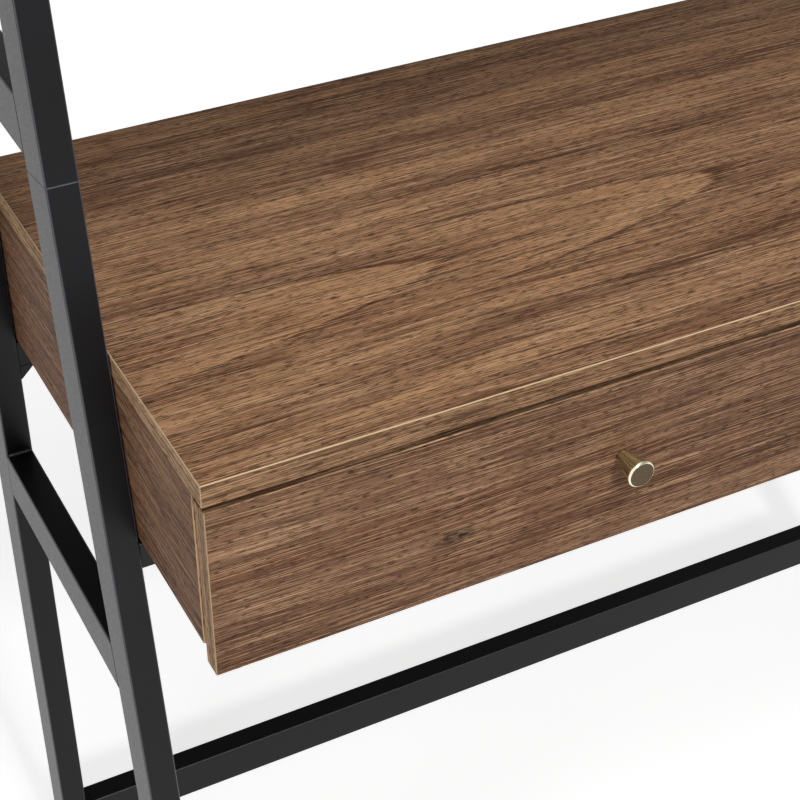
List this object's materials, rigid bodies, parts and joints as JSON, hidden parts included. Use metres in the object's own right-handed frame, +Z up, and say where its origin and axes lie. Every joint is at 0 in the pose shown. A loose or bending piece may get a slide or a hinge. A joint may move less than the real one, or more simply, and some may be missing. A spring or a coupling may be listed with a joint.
{
  "type": "ladder desk",
  "caption": "Free-standing ladder desk: leaning black tube side frames carry a walnut-look desk box with a wide drawer on telescopic slides and shelves above.",
  "frame": {"origin": "on the floor, under the middle of the overall width and depth", "axes": "+X to the right seen from the front, +Y to the back, +Z up"},
  "size_m": [0.914, 0.4494, 1.829],
  "materials": {
    "black_powder_coat": "semi-matte black powder coat",
    "walnut_laminate": "satin walnut-look laminate",
    "drawer_board": "matte foil-wrapped board",
    "hardboard": "smooth hardboard",
    "beech_dowel": "raw fluted beech",
    "satin_brass": "satin aged brass",
    "zinc_plated_steel": "bright zinc plate",
    "black_plastic": "moulded polypropylene",
    "nylon": "natural nylon"
  },
  "bodies": {
    "frame": {"back_panel": "walnut_laminate", "cam_fittings": "zinc_plated_steel", "desk_screws": "zinc_plated_steel", "desk_spacers": "nylon", "desk_top": "walnut_laminate", "front_desk_rail": "black_powder_coat", "joint_screws": "zinc_plated_steel", "left_front_foot": "black_plastic", "left_front_leg": "black_powder_coat", "left_front_post": "black_powder_coat", "left_gusset": "black_powder_coat", "left_joint_rung": "black_powder_coat", "left_lower_rung": "black_powder_coat", "left_lower_shelf_rung": "black_powder_coat", "left_rear_foot": "black_plastic", "left_rear_leg": "black_powder_coat", "left_rear_post": "black_powder_coat", "left_side_panel": "walnut_laminate", "left_slide_rail": "zinc_plated_steel", "left_top_rung": "black_powder_coat", "left_upper_shelf_rung": "black_powder_coat", "low_stretcher": "black_powder_coat", "lower_shelf": "walnut_laminate", "panel_dowels": "beech_dowel", "post_caps": "black_plastic", "post_sleeves": "zinc_plated_steel", "rail_spigots": "zinc_plated_steel", "rear_desk_rail": "black_powder_coat", "right_front_foot": "black_plastic", "right_front_leg": "black_powder_coat", "right_front_post": "black_powder_coat", "right_gusset": "black_powder_coat", "right_joint_rung": "black_powder_coat", "right_lower_rung": "black_powder_coat", "right_lower_shelf_rung": "black_powder_coat", "right_rear_foot": "black_plastic", "right_rear_leg": "black_powder_coat", "right_rear_post": "black_powder_coat", "right_side_panel": "walnut_laminate", "right_slide_rail": "zinc_plated_steel", "right_top_rung": "black_powder_coat", "right_upper_shelf_rung": "black_powder_coat", "shelf_brackets": "black_powder_coat", "shelf_screws": "zinc_plated_steel", "stretcher_screws": "zinc_plated_steel", "top_stretcher": "black_powder_coat", "upper_shelf": "walnut_laminate"},
    "drawer": {"drawer_front": "walnut_laminate", "drawer_left_side": "drawer_board", "drawer_right_side": "drawer_board", "drawer_back": "drawer_board", "drawer_bottom": "hardboard", "drawer_dowels": "beech_dowel", "left_slide_runner": "zinc_plated_steel", "right_slide_runner": "zinc_plated_steel", "left_knob": "satin_brass", "right_knob": "satin_brass", "knob_screws": "zinc_plated_steel"},
    "slide_carriages": {"left_slide_carriage": "zinc_plated_steel", "right_slide_carriage": "zinc_plated_steel"}
  },
  "joints": [
    {"name": "drawer_slide", "type": "slide", "parent": "frame", "child": "drawer", "axis": [0, -1, 0], "range_m": [0, 0.35]},
    {"name": "carriage_slide", "type": "slide", "parent": "frame", "child": "slide_carriages", "axis": [0, -1, 0], "range_m": [0, 0.175]}
  ],
  "couplings": [
    {"joint": "carriage_slide", "follows": "drawer_slide", "ratio": 0.5}
  ]
}
